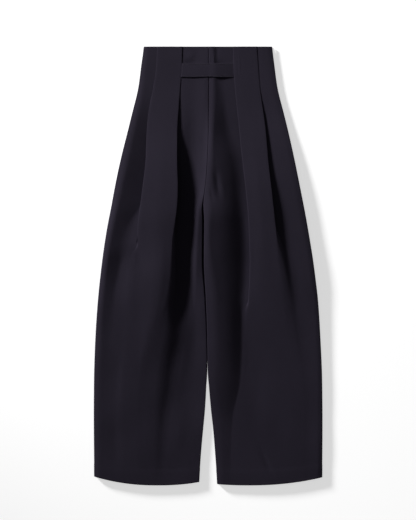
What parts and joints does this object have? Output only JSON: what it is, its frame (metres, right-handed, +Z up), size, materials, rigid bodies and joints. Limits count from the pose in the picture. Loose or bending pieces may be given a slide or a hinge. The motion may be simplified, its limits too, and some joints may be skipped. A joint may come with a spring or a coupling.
{
  "type": "wide-leg pleated trousers, laid flat",
  "caption": "Wide-leg trousers laid flat: a deep box pleat runs down each leg from the waist, and a narrow tab crosses the centre front.",
  "frame": {"origin": "on the surface that the trousers lie on, under the middle of their bounding box", "axes": "+Y to the waist, along the legs; +X to the wearer's left; +Z up, out of the front"},
  "size_m": [0.5728, 1.099, 0.0295],
  "materials": {
    "front_cloth": "matte dark navy-black crepe",
    "back_cloth": "matte dark navy-black crepe",
    "tab_cloth": "matte dark navy-black crepe"
  },
  "bodies": {
    "root": {"front_right": "front_cloth", "front_left": "front_cloth", "back_right": "back_cloth", "back_left": "back_cloth", "front_tab": "tab_cloth"}
  },
  "joints": []
}
